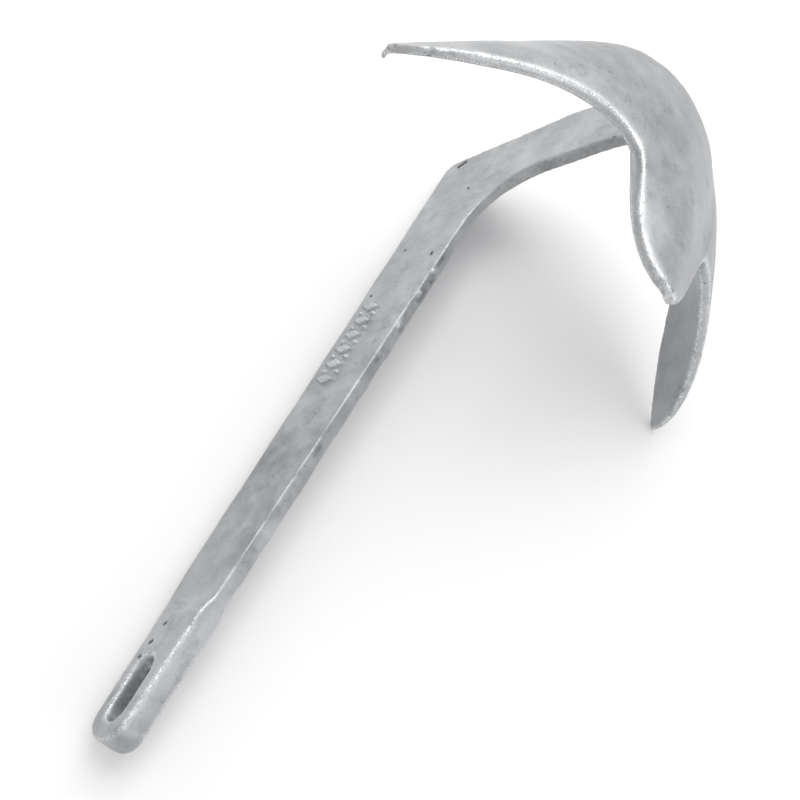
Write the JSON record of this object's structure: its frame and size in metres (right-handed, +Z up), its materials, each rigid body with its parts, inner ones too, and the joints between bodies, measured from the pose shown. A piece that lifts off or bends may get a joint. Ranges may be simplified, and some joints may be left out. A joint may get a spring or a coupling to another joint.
{
  "type": "claw anchor",
  "caption": "Galvanised claw anchor: a bent, tapered shank with a slotted shackle end, and a curved claw whose middle palm stands between two wings.",
  "frame": {"origin": "middle of the bottom of the anchor's box as it lies at rest on its spine and the tip of one wing", "axes": "+X along the shank's long arm towards the shackle slot, +Z up as the anchor lies, +Y towards the claw's side"},
  "size_m": [0.4492, 0.2192, 0.2055],
  "materials": {
    "galvanised_shank": "hot-dip galvanised, satin, mottled grey",
    "galvanised_claw": "hot-dip galvanised, satin, mottled grey",
    "galvanised_weld": "hot-dip galvanised over weld, dull grey"
  },
  "bodies": {
    "root": {"shank": "galvanised_shank", "claw": "galvanised_claw", "root_weld_port": "galvanised_weld", "root_weld_starboard": "galvanised_weld"}
  },
  "joints": []
}
